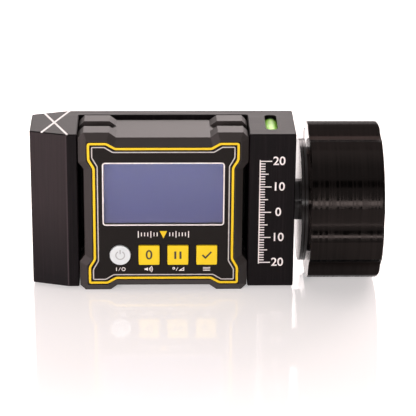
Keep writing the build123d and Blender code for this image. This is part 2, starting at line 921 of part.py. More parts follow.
def make_inserts():
    inserts = []
    for x, z in corners(mount_across, mount_rise):
        place = (unit_x + x, unit_z + z)
        body = rod_y(insert_radius, unit_back - insert_length, unit_back, *place)
        inserts.append(body - rod_y(mount_screw_radius + seat_gap, unit_back - insert_length - overrun,
                                    unit_back + overrun, *place))
    return inserts


def make_pad():
    body = plate(shrink(flange_outline(), rear_bevel + label_rim), unit_back + seat_gap,
                 pocket_back - seat_gap)
    body -= span(around(unit_x, cover_half_length + rear_window_margin),
                 (unit_back - overrun, pocket_back + overrun),
                 around(unit_z, cover_half_height + rear_window_margin))
    for x, z in corners(mount_across, mount_rise):
        body -= rod_y(mount_screw_radius + slide_gap, unit_back - overrun, pocket_back + overrun,
                      unit_x + x, unit_z + z)
    for x, z in corners(post_x, post_z):
        body -= rod_y(case_screw_head + slide_gap, unit_back - overrun, pocket_back + overrun,
                      unit_x + x, unit_z + z)
    return body


nodes = {
    "block_body": make_block(),
    "vial_tube": make_vial_tube(),
    "vial_fluid": make_vial_fluid(),
    "vial_cushions": make_vial_cushions(),
    "vial_plug": make_vial_plug(),
    "spindle_sleeve": make_spindle_sleeve(),
    "brake_ring": make_brake_ring(),
    "pivot_bolt": make_pivot_bolt(),
    "disc_spring": make_disc_spring(),
    "clutch_disc": make_clutch_disc(),
    "clutch_screws": [make_clutch_screw(degrees) for degrees in clutch_places()],
    "pivot_bush": make_bush(),
    "thrust_washer": make_thrust_washer(),
    "adapter_body": make_adapter(),
    "hub_magnets": make_hub_magnets(),
    "front_case": make_front_case(),
    "rear_case": make_rear_case(),
    "case_gasket": make_gasket(),
    "front_label": make_front_label(),
    "display_window": make_window(),
    "lcd_glass": make_lcd(),
    "lcd_backlight": make_backlight(),
    "lcd_frame": make_lcd_frame(),
    "zebra_strip": make_zebra_strip(),
    "main_board": make_board(),
    "key_switches": make_switches(),
    "controller_chip": make_chip(),
    "tilt_sensor": make_tilt_sensor(),
    "crystal_can": make_crystal(),
    "buzzer": make_buzzer(),
    "power_button": make_key(0),
    "zero_button": make_key(1),
    "hold_button": make_key(2),
    "set_button": make_key(3),
    "battery_cells": make_cells(),
    "contact_springs": make_contact_springs(),
    "contact_plates": make_contact_plates(),
    "battery_cover": make_cover(),
    "cover_screws": make_cover_screws(),
    "case_screws": make_case_screws(),
    "mount_screws": make_mount_screws(),
    "mount_inserts": make_inserts(),
    "mounting_pad": make_pad(),
    "foot_magnets": make_foot_magnets(),
}

os.makedirs("parts", exist_ok=True)
for name, shape in nodes.items():
    if isinstance(shape, list):
        shape = Compound(children=[Compound(body.solids()) for body in shape])
    export_step(shape, f"parts/{name}.step")
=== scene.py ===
"""A camber gauge on a pale glossy table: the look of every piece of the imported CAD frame."""

import bpy
import numpy as np
from mathutils import Matrix, Vector


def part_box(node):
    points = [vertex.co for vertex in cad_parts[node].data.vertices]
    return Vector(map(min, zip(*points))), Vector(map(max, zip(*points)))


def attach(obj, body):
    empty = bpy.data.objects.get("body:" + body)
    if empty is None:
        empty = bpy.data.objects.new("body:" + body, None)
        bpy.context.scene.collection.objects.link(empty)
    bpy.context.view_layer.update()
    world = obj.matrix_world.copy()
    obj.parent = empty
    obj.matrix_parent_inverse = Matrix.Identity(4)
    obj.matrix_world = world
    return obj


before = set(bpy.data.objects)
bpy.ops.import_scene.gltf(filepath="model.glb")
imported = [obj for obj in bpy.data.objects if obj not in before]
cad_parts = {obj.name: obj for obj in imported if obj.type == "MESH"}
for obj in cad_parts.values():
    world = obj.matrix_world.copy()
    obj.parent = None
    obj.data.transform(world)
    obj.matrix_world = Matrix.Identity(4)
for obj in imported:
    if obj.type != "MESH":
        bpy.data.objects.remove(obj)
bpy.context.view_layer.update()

# Block: one aluminium billet, milled all over and anodised satin black. The cutter's lines run
# along its top and upright on its sides, and are drawn several times as wide as real ones so that
# they show. The dye is cloudy. The tapered end is painted paler, more so towards its top, as
# painted light, and the edge where the taper starts has a painted highlight.
MM = 0.001
BLOCK_BLACK = "#080607"
BLOCK_WARM = "#0E0A0C"
BLOCK_STREAK = "#1D181A"
TAPER_PAINTED_LIGHT = "#2C2627"
ARRIS_PAINTED_HIGHLIGHT = "#373032"
ARRIS_SHARE = 0.02
TAPER_RUN = 13.2 * MM
PAINTED_LIGHT_FROM_SHARE, PAINTED_LIGHT_FULL_SHARE = 0.05, 0.55
MILLING_PITCH = 0.35 * MM
SIDE_PITCH = 0.7 * MM
MILLING_LENGTH = 30 * MM
MILLING_RELIEF = 0.03 * MM
CLOUD_SIZE = 14 * MM
block_low, block_high = map(np.array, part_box("block_body"))


def linear(colour):
    """sRGB hex colour as linear RGBA: each channel c becomes ((c + 0.055) / 1.055) ^ 2.4."""
    channels = np.array([int(colour[start:start + 2], 16) / 255 for start in (1, 3, 5)])
    low, high = channels / 12.92, ((channels + 0.055) / 1.055) ** 2.4
    return [*np.where(channels <= 0.04045, low, high), 1.0]


def add(material, kind, inputs, **settings):
    """Adds one node, sets its properties, and gives each input its value or its link."""
    made = material.node_tree.nodes.new(kind)
    for name, value in settings.items():
        setattr(made, name, value)
    for name, value in inputs.items():
        if isinstance(value, bpy.types.NodeSocket):
            material.node_tree.links.new(value, made.inputs[name])
        else:
            made.inputs[name].default_value = value
    return made


def new_surface(name, values):
    """Material with one principled shader, whose sockets are set as values says."""
    material = bpy.data.materials.new(name)
    material.use_nodes = True
    sockets = material.node_tree.nodes["Principled BSDF"].inputs
    for socket, value in values.items():
        sockets[socket].default_value = linear(value) if isinstance(value, str) else value
    return material


def wire(material, links, shader="Principled BSDF"):
    """Links node outputs into the shader's sockets."""
    sockets = material.node_tree.nodes[shader].inputs
    for name, output in links.items():
        material.node_tree.links.new(output, sockets[name])


def place_of(material, pitch, centre=(0, 0, 0)):
    """Object coordinates about a centre, counted in pitches along x, y and z."""
    where = add(material, "ShaderNodeTexCoord", {})
    centred = add(material, "ShaderNodeVectorMath", {0: where.outputs["Object"], 1: centre},
                  operation="SUBTRACT")
    scaled = add(material, "ShaderNodeVectorMath",
                 {0: centred.outputs["Vector"], 1: [1 / step for step in pitch]},
                 operation="MULTIPLY")
    return scaled.outputs["Vector"]


def dress(material, *nodes):
    """Gives these CAD nodes the material in all their slots."""
    for name in nodes:
        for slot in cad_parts[name].material_slots:
            slot.material = material


# Anodised aluminium: nearly black, with a low sheen that the milled lines break up.
anodised = new_surface("satin_black_anodised_milled", {"Specular IOR Level": 0.092})
along, upright = [add(anodised, "ShaderNodeTexNoise", {
    "Vector": place_of(anodised, pitch), "Scale": 1.0, "Detail": 3.0, "Roughness": 0.6})
    for pitch in ((MILLING_LENGTH, MILLING_PITCH, MILLING_LENGTH),
                  (SIDE_PITCH, SIDE_PITCH, MILLING_LENGTH))]
where = add(anodised, "ShaderNodeTexCoord", {})
facing = add(anodised, "ShaderNodeSeparateXYZ", {"Vector": where.outputs["Normal"]})
level = add(anodised, "ShaderNodeMath", {0: facing.outputs["Z"]}, operation="ABSOLUTE")
lines = add(anodised, "ShaderNodeMix", {
    0: level.outputs[0], 6: upright.outputs["Fac"], 7: along.outputs["Fac"]},
    data_type="RGBA").outputs[2]
clouds = add(anodised, "ShaderNodeTexNoise", {
    "Vector": place_of(anodised, (CLOUD_SIZE,) * 3), "Scale": 1.0, "Detail": 5.0})
streaks = add(anodised, "ShaderNodeMapRange", {
    "Value": lines, "From Min": 0.5, "From Max": 0.75, "To Max": 0.6})
along_end = add(anodised, "ShaderNodeSeparateXYZ", {
    "Vector": place_of(anodised, (TAPER_RUN, MM, block_high[2] - block_low[2]), tuple(block_low))})
# Painted light: the tapered end is made paler, only on its upright faces and more towards its top.
end_share = add(anodised, "ShaderNodeMapRange", {
    "Value": along_end.outputs["X"], "From Min": 1 - ARRIS_SHARE, "To Min": 1.0, "To Max": 0.0})
side_share = add(anodised, "ShaderNodeMapRange", {
    "Value": level.outputs[0], "From Max": 0.5, "To Min": 1.0, "To Max": 0.0})
up_share = add(anodised, "ShaderNodeMapRange", {
    "Value": along_end.outputs["Z"], "From Min": PAINTED_LIGHT_FROM_SHARE, "From Max": PAINTED_LIGHT_FULL_SHARE})
brushed = add(anodised, "ShaderNodeMapRange", {
    "Value": lines, "From Min": 0.35, "From Max": 0.65, "To Min": 0.7})
pale = end_share.outputs["Result"]
for share in (side_share, up_share, brushed):
    pale = add(anodised, "ShaderNodeMath", {0: pale, 1: share.outputs["Result"]},
               operation="MULTIPLY").outputs[0]
# Painted highlight: a narrow paler band on the edge where the taper starts.
painted_arris_highlight = add(anodised, "ShaderNodeMath", {0: along_end.outputs["X"], 1: 1.0, 2: ARRIS_SHARE},
            operation="COMPARE")
painted_arris_highlight = add(anodised, "ShaderNodeMath", {0: painted_arris_highlight.outputs[0], 1: side_share.outputs["Result"]},
            operation="MULTIPLY")
# The cloudy dye and the milled streaks, then the painted light on the taper and the painted
# highlight on its edge.
dye_and_painted_light = linear(BLOCK_BLACK)
for share, colour in ((clouds.outputs["Fac"], BLOCK_WARM),
                      (streaks.outputs["Result"], BLOCK_STREAK),
                      (pale, TAPER_PAINTED_LIGHT), (painted_arris_highlight.outputs[0], ARRIS_PAINTED_HIGHLIGHT)):
    dye_and_painted_light = add(anodised, "ShaderNodeMix", {0: share, 6: dye_and_painted_light, 7: linear(colour)},
              data_type="RGBA").outputs[2]
rough = add(anodised, "ShaderNodeMapRange", {
    "Value": lines, "From Min": 0.3, "From Max": 0.7, "To Min": 0.33, "To Max": 0.5})
relief = add(anodised, "ShaderNodeBump", {
    "Height": lines, "Strength": 0.5, "Distance": MILLING_RELIEF})
wire(anodised, {"Base Color": dye_and_painted_light, "Roughness": rough.outputs["Result"],
                "Normal": relief.outputs["Normal"]})
dress(anodised, "block_body")

# Sight lines: the crossed grooves in the top are filled with white enamel, wiped a hair past them.
# The fitter sights along them when the wheel is turned for the steering sweep.
ENAMEL_WHITE = "#F3F2F0"
SIGHT_WIDTH = 0.7 * MM
SIGHT_ANGLE = np.radians(22)
SIGHT_INSET = 8.6 * MM
SIGHT_SPREAD = 0.1 * MM
SIGHT_SKIN = 0.015 * MM
SIGHT_DEPTH = 0.2 * MM
TAPER_REACH = 11.0 * MM
STRAIGHT_REACH = 13.5 * MM


def prism(outline, low, high):
    """Closed prism of an outline read anticlockwise: its points at two heights, with a face on
    each end and one quad per edge. Points are (across, up, out)."""
    count = len(outline)
    ring = np.arange(count)
    after = (ring + 1) % count
    points = np.concatenate([np.c_[outline, np.full(count, high)],
                             np.c_[outline, np.full(count, low)]])
    sides = np.stack([ring, ring + count, after + count, after], 1)
    return points, [ring.tolist(), (ring[::-1] + count).tolist(), *sides.tolist()]


def joined(parts):
    """One set of points and faces from several."""
    starts = np.cumsum([0] + [len(points) for points, _ in parts])
    faces = [[corner + start for corner in face]
             for start, (_, part) in zip(starts, parts) for face in part]
    return np.concatenate([points for points, _ in parts]), faces


def make_piece(name, parts, place, material, body):
    """Mesh object from parts in (across, up, out), set by an origin and the three directions."""
    points, faces = joined(parts)
    origin, across, up, out = (np.array(row, float) for row in place)
    mesh = bpy.data.meshes.new(name)
    mesh.from_pydata((origin + points @ np.stack([across, up, out])).tolist(), [], faces)
    mesh.validate()
    mesh.materials.append(material)
    made = bpy.data.objects.new(name, mesh)
    bpy.context.scene.collection.objects.link(made)
    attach(made, body)
    return made


def cross_outline(angle, half, reaches):
    """Outline of two crossed bars: each arm's end is square, and neighbouring arms meet where
    their edges do, at half the width over the sine of half the angle between them."""
    headings = np.array([np.pi / 2 - angle, np.pi / 2 + angle, -np.pi / 2 - angle,
                         -np.pi / 2 + angle])
    points = []
    for heading, following, reach in zip(headings, np.roll(headings, -1), reaches):
        along = np.array([np.cos(heading), np.sin(heading)])
        left = np.array([-along[1], along[0]])
        points += [along * reach - left * half, along * reach + left * half]
        turn = (following - heading) % (2 * np.pi)
        middle = heading + turn / 2
        points.append(half / np.sin(turn / 2) * np.array([np.cos(middle), np.sin(middle)]))
    return np.array(points)


def speckled(name, colour, darker, grain, values):
    """One colour with faint uneven patches of a darker one, as paint, ink and plating have."""
    material = new_surface(name, values)
    noise = add(material, "ShaderNodeTexNoise", {
        "Vector": place_of(material, (grain,) * 3), "Scale": 1.0, "Detail": 4.0})
    share = add(material, "ShaderNodeMapRange", {
        "Value": noise.outputs["Fac"], "From Min": 0.35, "From Max": 0.75})
    patches = add(material, "ShaderNodeMix", {
        0: share.outputs["Result"], 6: linear(colour), 7: linear(darker)}, data_type="RGBA")
    wire(material, {"Base Color": patches.outputs[2]})
    return material


# Enamel: white with a soft gloss and faint thin patches.
enamel = speckled("white_enamel_fill", ENAMEL_WHITE, "#DFDCD9", 1.2 * MM, {"Roughness": 0.45})
reaches = [STRAIGHT_REACH, TAPER_REACH, TAPER_REACH, STRAIGHT_REACH]
make_piece("sight_line_enamel",
           [prism(cross_outline(SIGHT_ANGLE, half_width, reaches), low, high)
            for half_width, low, high in ((SIGHT_WIDTH / 2, -SIGHT_DEPTH, 0),
                                          (SIGHT_WIDTH / 2 + SIGHT_SPREAD, 0, SIGHT_SKIN))],
           [(block_low[0] + SIGHT_INSET, 0, block_high[2]), (1, 0, 0), (0, 1, 0), (0, 0, 1)],
           enamel, "gauge")

# Height scale: silk-screened in white on the front of the block beside the level. Its zero is
# level with the spindle, and it counts millimetres up and down from there.
INK_WHITE = "#F1EDEA"
INK_LIFT = 0.03 * MM
SCALE_LEFT = 19.55 * MM
SCALE_REACH = 20
SCALE_OVERRUN = 0.5 * MM
SCALE_LINE = 0.38 * MM
TICK_LENGTHS = {10: 4.2 * MM, 5: 3.0 * MM, 1: 1.8 * MM}
FIGURE_EVERY = 10
FIGURE_SIZE = 4.6 * MM
FIGURE_GAP = 6.9 * MM
FIGURE_BOLD_SHARE = 0.012
SPINDLE_HEIGHT = 30.8 * MM
FACING = [(1, 0, 0), (0, 0, 1), (0, -1, 0)]


def stroke(points, width, closed=False):
    """Band of ink carried along a path: each point steps half the width to both sides along the
    mitre of its two edges, above and below the printed face, which gives four corners, joined by
    quads to the next four."""
    points = np.array(points, float)
    ahead = np.roll(points, -1, 0) - points
    if not closed:
        ahead[-1] = ahead[-2]
    ahead /= np.linalg.norm(ahead, axis=1, keepdims=True)
    behind = np.roll(ahead, 1, 0)
    if not closed:
        behind[0] = ahead[0]
    mean = ahead + behind
    mean /= np.linalg.norm(mean, axis=1, keepdims=True)
    reach = width / 2 / (mean * ahead).sum(1, keepdims=True)
    side = np.c_[-mean[:, 1], mean[:, 0]] * reach
    count = len(points)
    lift = np.full(count, INK_LIFT)
    corners = np.stack([np.c_[points + side, lift], np.c_[points - side, lift],
                        np.c_[points - side, -lift], np.c_[points + side, -lift]], 1)
    ring = np.arange(count if closed else count - 1)[:, None] * 4
    after = (ring + 4) % (4 * count)
    corner = np.arange(4)
    turned = (corner + 1) % 4
    faces = np.stack([ring + corner, ring + turned, after + turned, after + corner], 2)
    faces = faces.reshape(-1, 4).tolist()
    if not closed:
        faces += [[3, 2, 1, 0], [4 * count - 4 + step for step in range(4)]]
    return corners.reshape(-1, 3), faces


def figure(text, size, across, up):
    """A number in the plain built-in face, as thick as a stroke of ink."""
    curve = bpy.data.curves.new(text, "FONT")
    curve.body = text
    curve.size = size
    curve.extrude = INK_LIFT
    curve.offset = size * FIGURE_BOLD_SHARE
    curve.align_x = "CENTER"
    curve.align_y = "CENTER"
    holder = bpy.data.objects.new(text, curve)
    bpy.context.scene.collection.objects.link(holder)
    mesh = bpy.data.meshes.new_from_object(holder)
    points = np.empty(len(mesh.vertices) * 3)
    mesh.vertices.foreach_get("co", points)
    faces = [list(face.vertices) for face in mesh.polygons]
    bpy.data.objects.remove(holder)
    bpy.data.curves.remove(curve)
    bpy.data.meshes.remove(mesh)
    return points.reshape(-1, 3) + [across, up, 0], faces


# Screen ink: a matt white with faint thin spots.
ink = speckled("white_screen_ink", INK_WHITE, "#D9D4D0", 0.9 * MM, {"Roughness": 0.5})
scale_end = SCALE_REACH * MM + SCALE_OVERRUN
marks = [stroke([(0, -scale_end), (0, scale_end)], SCALE_LINE)]
for step in range(-SCALE_REACH, SCALE_REACH + 1):
    length = TICK_LENGTHS[next(every for every in TICK_LENGTHS if step % every == 0)]
    start = SCALE_LINE / 4
    marks.append(stroke([(start, step * MM), (start + length, step * MM)], SCALE_LINE))
    if step % FIGURE_EVERY == 0:
        marks.append(figure(str(abs(step)), FIGURE_SIZE, FIGURE_GAP, step * MM))
make_piece("height_scale", marks, [(SCALE_LEFT, block_low[1], SPINDLE_HEIGHT), *FACING],
           ink, "gauge")

# Cross vial: a clear acrylic tube with green fluid and an air bubble, between two soft rubber
# seats in a bore across the block, closed from the back by a black socket plug.
BUBBLE_LENGTH = 4.6 * MM
BUBBLE_RADIUS = 1.25 * MM
BUBBLE_RISE = 0.2 * MM
BUBBLE_SHIFT = 3.0 * MM
tube_low, tube_high = map(np.array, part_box("vial_tube"))
tube_middle = (tube_low + tube_high) / 2
fluid_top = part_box("vial_fluid")[1][2]


def round_rod(length, radius, centre, around=48, along=24):
    """Round-ended rod along y: circles whose radius follows a half circle at each end, sampled
    by angle so that the ends stay smooth. Poles are closed by a fan."""
    bend = np.linspace(0, np.pi / 2, along // 2)
    reach = length / 2 - radius * (1 - np.sin(bend))
    start = np.stack([-reach[::-1], radius * np.cos(bend[::-1])], 1)
    end = np.stack([reach, radius * np.cos(bend)], 1)
    profile = np.concatenate([start[1:], end[:-1]])
    angle = np.linspace(0, 2 * np.pi, around, endpoint=False)
    rings = np.stack([profile[:, 1:] * np.cos(angle), np.repeat(profile[:, :1], around, 1),
                      profile[:, 1:] * np.sin(angle)], 2).reshape(-1, 3)
    poles = np.array([[0, -length / 2, 0], [0, length / 2, 0]])
    row = np.arange(len(profile) - 1)[:, None] * around
    step = np.arange(around)
    turned = (step + 1) % around
    quads = np.stack([row + step, row + turned, row + around + turned, row + around + step], 2)
    last = len(profile) * around
    near = np.stack([np.full(around, last), turned, step], 1)
    far = np.stack([np.full(around, last + 1), last - around + step, last - around + turned], 1)
    faces = quads.reshape(-1, 4).tolist() + near.tolist() + far.tolist()
    return np.concatenate([rings, poles]) + centre, [face[::-1] for face in faces]


# Cast acrylic is clear, and its skin is dull enough that no lamp shows in it. The fluid is a
# yellow-green with a painted glow, so that it seems lit from inside its shaded slot, and the
# bubble is painted paler, with a weaker painted glow. Soft rubber is a dead black.
acrylic = new_surface("clear_cast_acrylic", {
    "Base Color": "#F4FFF0", "Roughness": 0.5, "IOR": 1.17, "Transmission Weight": 1.0})
# The fluid's emission is a painted glow.
fluid = speckled("green_level_fluid_painted_glow", "#BEE26A", "#9ACF48", 3 * MM, {
    "Roughness": 0.5, "Specular IOR Level": 0.0, "Subsurface Weight": 0.4,
    "Subsurface Radius": (1, 1, 0.6), "Subsurface Scale": 1.5 * MM,
    "Emission Color": "#A8DA58", "Emission Strength": 0.62})
# The bubble's pale colour and its emission are painted light.
air = speckled("bubble_painted_glow", "#BCC8A0", "#9DB67C", 1.0 * MM, {
    "Roughness": 0.4, "Specular IOR Level": 0.0, "Emission Color": "#C6DAA4",
    "Emission Strength": 0.3})
rubber = speckled("soft_black_rubber", "#161616", "#242424", 0.6 * MM, {"Roughness": 0.8})
dress(acrylic, "vial_tube")
dress(fluid, "vial_fluid")
dress(rubber, "vial_cushions", "case_gasket")
bubble_middle = (tube_middle[0], tube_middle[1] + BUBBLE_SHIFT,
                 fluid_top + BUBBLE_RISE - BUBBLE_RADIUS)
bubble = make_piece("vial_bubble", [round_rod(BUBBLE_LENGTH, BUBBLE_RADIUS, bubble_middle)],
                    [(0, 0, 0), (1, 0, 0), (0, 1, 0), (0, 0, 1)], air, "gauge")
bubble.data.shade_smooth()

# Spindle: a black anodised aluminium disc on a short neck that is pressed into the block, a
# second disc on the adapter, and the black steel shoulder screw that the adapter turns on. The
# neck is painted a lighter grey than the discs, as painted light on it where it sits in shade
# between the block and the disc.
DISC_BLACK = "#121111"
NECK_PAINTED_LIGHT = "#4C494A"
NECK_RADIUS = 7.65 * MM
NECK_EDGE_SHARE, DISC_FROM_SHARE = 1.01, 1.04
ALONG_IGNORED = 1000.0
TURNING_PITCH = 0.6 * MM
TURNING_WANDER = 54 * MM


def turned_surface(name, colour, warm, smooth, dull, relief_depth, values):
    """Lathe-turned bar: lines round it, each a little duller or smoother than the next. They
    follow x and wander slowly, so that faces square to the axis stay smooth. The pitch is a few
    times a real one, so that the lines show."""
    material = new_surface(name, values)
    tracks = add(material, "ShaderNodeTexNoise", {
        "Vector": place_of(material, (TURNING_PITCH, TURNING_WANDER, TURNING_WANDER)),
        "Scale": 1.0, "Detail": 3.0, "Roughness": 0.65})
    relief = add(material, "ShaderNodeBump", {
        "Height": tracks.outputs["Fac"], "Strength": 0.4, "Distance": relief_depth})
    share = add(material, "ShaderNodeMapRange", {
        "Value": tracks.outputs["Fac"], "From Min": 0.35, "From Max": 0.65})
    finish = add(material, "ShaderNodeMapRange", {
        "Value": tracks.outputs["Fac"], "From Min": 0.4, "From Max": 0.6,
        "To Min": smooth, "To Max": dull})
    dyed = add(material, "ShaderNodeMix", {
        0: share.outputs["Result"], 6: linear(colour), 7: linear(warm)}, data_type="RGBA")
    wire(material, {"Base Color": dyed.outputs[2], "Roughness": finish.outputs["Result"],
                    "Normal": relief.outputs["Normal"]})
    return material


# Polished and anodised black: it mirrors the pale table where it is seen at a low angle.
disc_finish = turned_surface(
    "black_anodised_turned_disc", DISC_BLACK, "#1D1B1A", smooth=0.1, dull=0.2,
    relief_depth=0.005 * MM, values={"Specular IOR Level": 0.2})
disc_shader = disc_finish.node_tree.nodes["Principled BSDF"]
from_axis = add(disc_finish, "ShaderNodeVectorMath", {
    0: place_of(disc_finish, (ALONG_IGNORED, NECK_RADIUS, NECK_RADIUS), (0, 0, SPINDLE_HEIGHT))},
    operation="LENGTH")
beyond = add(disc_finish, "ShaderNodeMapRange", {
    "Value": from_axis.outputs["Value"], "From Min": NECK_EDGE_SHARE,
    "From Max": DISC_FROM_SHARE})
# Painted light: inside the neck's radius the colour is a lighter grey than the discs.
neck_and_disc = add(disc_finish, "ShaderNodeMix", {
    0: beyond.outputs["Result"], 6: linear(NECK_PAINTED_LIGHT),
    7: disc_shader.inputs["Base Color"].links[0].from_socket}, data_type="RGBA")
wire(disc_finish, {"Base Color": neck_and_disc.outputs[2]})

# Black oxide leaves steel a dull grey-black. Sintered bronze is brown and open-grained, zinc is
# bright with a grey mottle, and the pressed fibre is matt and brown.
black_steel = speckled("black_oxide_steel", "#1B1B1D", "#2B2A2A", 0.7 * MM, {
    "Metallic": 0.6, "Roughness": 0.38})
bronze = speckled("sintered_bronze", "#8A6433", "#6E4D25", 0.4 * MM, {
    "Metallic": 1.0, "Roughness": 0.5})
zinc = speckled("bright_zinc_on_steel", "#C3C4C2", "#A8AAA9", 0.8 * MM, {
    "Metallic": 1.0, "Roughness": 0.32})
fibre = speckled("pressed_friction_fibre", "#6B5A41", "#4A3C2A", 0.3 * MM, {"Roughness": 0.9})
dress(disc_finish, "spindle_sleeve", "clutch_disc")
dress(black_steel, "pivot_bolt", "clutch_screws", "vial_plug", "mount_screws")
dress(bronze, "pivot_bush")
dress(zinc, "disc_spring", "thrust_washer", "cover_screws", "case_screws")
dress(fibre, "brake_ring")

# Hub adapter: turned and scalloped from aluminium bar and anodised black. Its curved sides mirror
# the room dimly, like dark metal, and less than metal does at a low angle. Its two end faces are
# faced smooth and shine like a glaze, and nine nickel-plated magnets are let into its rim.
SQUARE_FROM, SQUARE_FULL = 0.9, 0.99
adapter_finish = turned_surface(
    "black_anodised_turned_bar", "#1F1C1B", "#262221", smooth=0.08, dull=0.26,
    relief_depth=0.03 * MM, values={"Specular Tint": "#B5B5B5"})
where = add(adapter_finish, "ShaderNodeTexCoord", {})
facing = add(adapter_finish, "ShaderNodeSeparateXYZ", {"Vector": where.outputs["Normal"]})
square = add(adapter_finish, "ShaderNodeMath", {0: facing.outputs["X"]}, operation="ABSOLUTE")
curved = add(adapter_finish, "ShaderNodeMapRange", {
    "Value": square.outputs[0], "From Min": SQUARE_FROM, "From Max": SQUARE_FULL,
    "To Min": 1.0, "To Max": 0.0})
wire(adapter_finish, {"Metallic": curved.outputs["Result"]})

# Nickel plate: bright, with a faint yellow cast.
nickel = speckled("bright_nickel_plate", "#CDC8BE", "#B8B3A8", 0.9 * MM, {
    "Metallic": 1.0, "Roughness": 0.18})
dress(adapter_finish, "adapter_body")
dress(nickel, "hub_magnets", "foot_magnets")

# Level case: two injection-moulded halves in dark grey ABS with a spark-eroded grain, drawn
# coarser than a real one so that it shows. It spreads the light, and makes the top faces look
# pale when they are seen at a low angle.
CASE_GRAIN = 0.5 * MM


def moulded(name, colour, lighter, grain, depth, values):
    """Moulded plastic: small pits in the surface and a faint unevenness of colour, twenty times
    as broad as the pits."""
    material = new_surface(name, values)
    pits = add(material, "ShaderNodeTexNoise", {
        "Vector": place_of(material, (grain,) * 3), "Scale": 1.0, "Detail": 3.0,
        "Roughness": 0.7})
    relief = add(material, "ShaderNodeBump", {
        "Height": pits.outputs["Fac"], "Strength": 0.5, "Distance": depth})
    broad = add(material, "ShaderNodeTexNoise", {
        "Vector": place_of(material, (20 * grain,) * 3), "Scale": 1.0, "Detail": 3.0})
    uneven = add(material, "ShaderNodeMix", {
        0: broad.outputs["Fac"], 6: linear(colour), 7: linear(lighter)}, data_type="RGBA")
    wire(material, {"Base Color": uneven.outputs[2], "Normal": relief.outputs["Normal"]})
    return material


abs_grey = moulded("spark_eroded_abs", "#211C1A", "#292321", CASE_GRAIN, 0.05 * MM, {
    "Roughness": 0.5, "Specular IOR Level": 0.42})
dress(abs_grey, "front_case", "rear_case", "battery_cover")

# Front panel: dark polyester film, printed from behind with a yellow line and a thin grey line
# that follow the case, and stuck into the shallow recess of the front half. The film looks
# brown-black and nearly matt, and the inks are solid colours with faint thin patches.
PANEL_BROWN = "#1C1A19"
LINE_YELLOW = "#E6C40B"
LINE_GREY = "#C0BFBC"
YELLOW_PATH = {"floor": (25.2, 25.4), "corner": (27.1, 27.3), "top": (17.4, 20.6),
               "side": (17.9, 21.2)}
GREY_PATH = {"floor": (23.9, 24.1), "corner": (25.8, 26.0), "top": (18.3, 21.3),
             "side": (18.6, 22.0)}
label_low, label_high = map(np.array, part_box("front_label"))
label_middle = (label_low + label_high) / 2
panel = [(label_middle[0], label_low[1], label_middle[2]), *FACING]


def four_fold(quarter):
    """Closed outline from its upper right quarter, read clockwise, mirrored to the other three."""
    quarter = np.array(quarter, float)
    right = np.concatenate([quarter, quarter[::-1] * (1, -1)])
    return np.concatenate([right, right[::-1] * (-1, 1)])


def softened(outline, radius, steps=7, most_share=0.45):
    """Closed outline with each corner swapped for a curve: a parabola between two points that
    lie up to the radius from the corner, with the corner as its middle control point."""
    before, after = np.roll(outline, 1, 0) - outline, np.roll(outline, -1, 0) - outline
    lengths = [np.linalg.norm(edge, axis=1, keepdims=True) for edge in (before, after)]
    starts, ends = [outline + edge / run * np.minimum(radius, run * most_share)
                    for edge, run in zip((before, after), lengths)]
    share = np.linspace(0, 1, steps)[None, :, None]
    curve = ((1 - share) ** 2 * starts[:, None] + 2 * share * (1 - share) * outline[:, None]
             + share ** 2 * ends[:, None])
    return curve.reshape(-1, 2)


def panel_loop(floor, corner, top, side):
    """Outline that follows the case's front, in millimetres from its middle: a shallow recess in
    each side, whose floor lies at floor across and up, between corners that lie at corner. The
    slopes of the recesses start and end at top across, and at side up."""
    return four_fold([(top[0], floor[1]), (top[1], corner[1]), corner,
                      (corner[0], side[1]), (floor[0], side[0])]) * MM


film = moulded("printed_polyester_film", PANEL_BROWN, "#211F1D", 0.6 * MM, 0.02 * MM, {
    "Roughness": 0.42, "Specular IOR Level": 0.06})
yellow_ink = speckled("yellow_film_ink", LINE_YELLOW, "#DEBB09", 1.5 * MM, {"Roughness": 0.42})
grey_ink = speckled("grey_film_ink", LINE_GREY, "#ACA79F", 1.5 * MM, {"Roughness": 0.42})
dress(film, "front_label")
for name, path, bend, width, printed, slot in (
        ("panel_yellow_line", YELLOW_PATH, 0.6 * MM, 0.85 * MM, yellow_ink, "key_yellow"),
        ("panel_grey_line", GREY_PATH, 0.4 * MM, 0.4 * MM, grey_ink, "backlight_white")):
    loop = softened(panel_loop(**path), bend)
    make_piece(name, [stroke(loop[::-1], width, True)], panel, printed, "gauge")

# Panel marks: white signs under the keys and a plain row of level ticks above them, with a yellow
# pointer in its middle. All are printed on the film in matt ink, and the points of the signs are
# in millimetres.
KEY_ACROSS = [-15.9 * MM, -5.3 * MM, 5.3 * MM, 15.9 * MM]
SIGN_UP = -21.9 * MM
SIGN_LINE = 0.3 * MM
THIN_LINE, RING_LINE, MENU_LINE = 0.22 * MM, 0.26 * MM, 0.28 * MM
SIGN_SIZE = 0.88
TICKS_UP = -8.0 * MM
TICKS_EACH_SIDE = 8
TICK_STEP = 1.15 * MM
TICK_LINE = 0.34 * MM
LONG_TICK, SHORT_TICK = 2.6 * MM, 1.5 * MM


def arc(radius, start, end, across=0.0, up=0.0, steps=24):
    """Points on a circle from one angle to another, in degrees, anticlockwise from the right."""
    angle = np.radians(np.linspace(start, end, steps, endpoint=abs(end - start) < 360))
    return np.c_[across + radius * np.cos(angle), up + radius * np.sin(angle)]


def sign(points, width=SIGN_LINE, closed=False):
    """One stroke of a sign, through points in millimetres."""
    return stroke(np.array(points, float) * MM, width, closed)


def moved(parts, across, up, size=1):
    """The same parts, resized and shifted over the panel."""
    return [(points * [size, size, 1] + [across, up, 0], faces) for points, faces in parts]


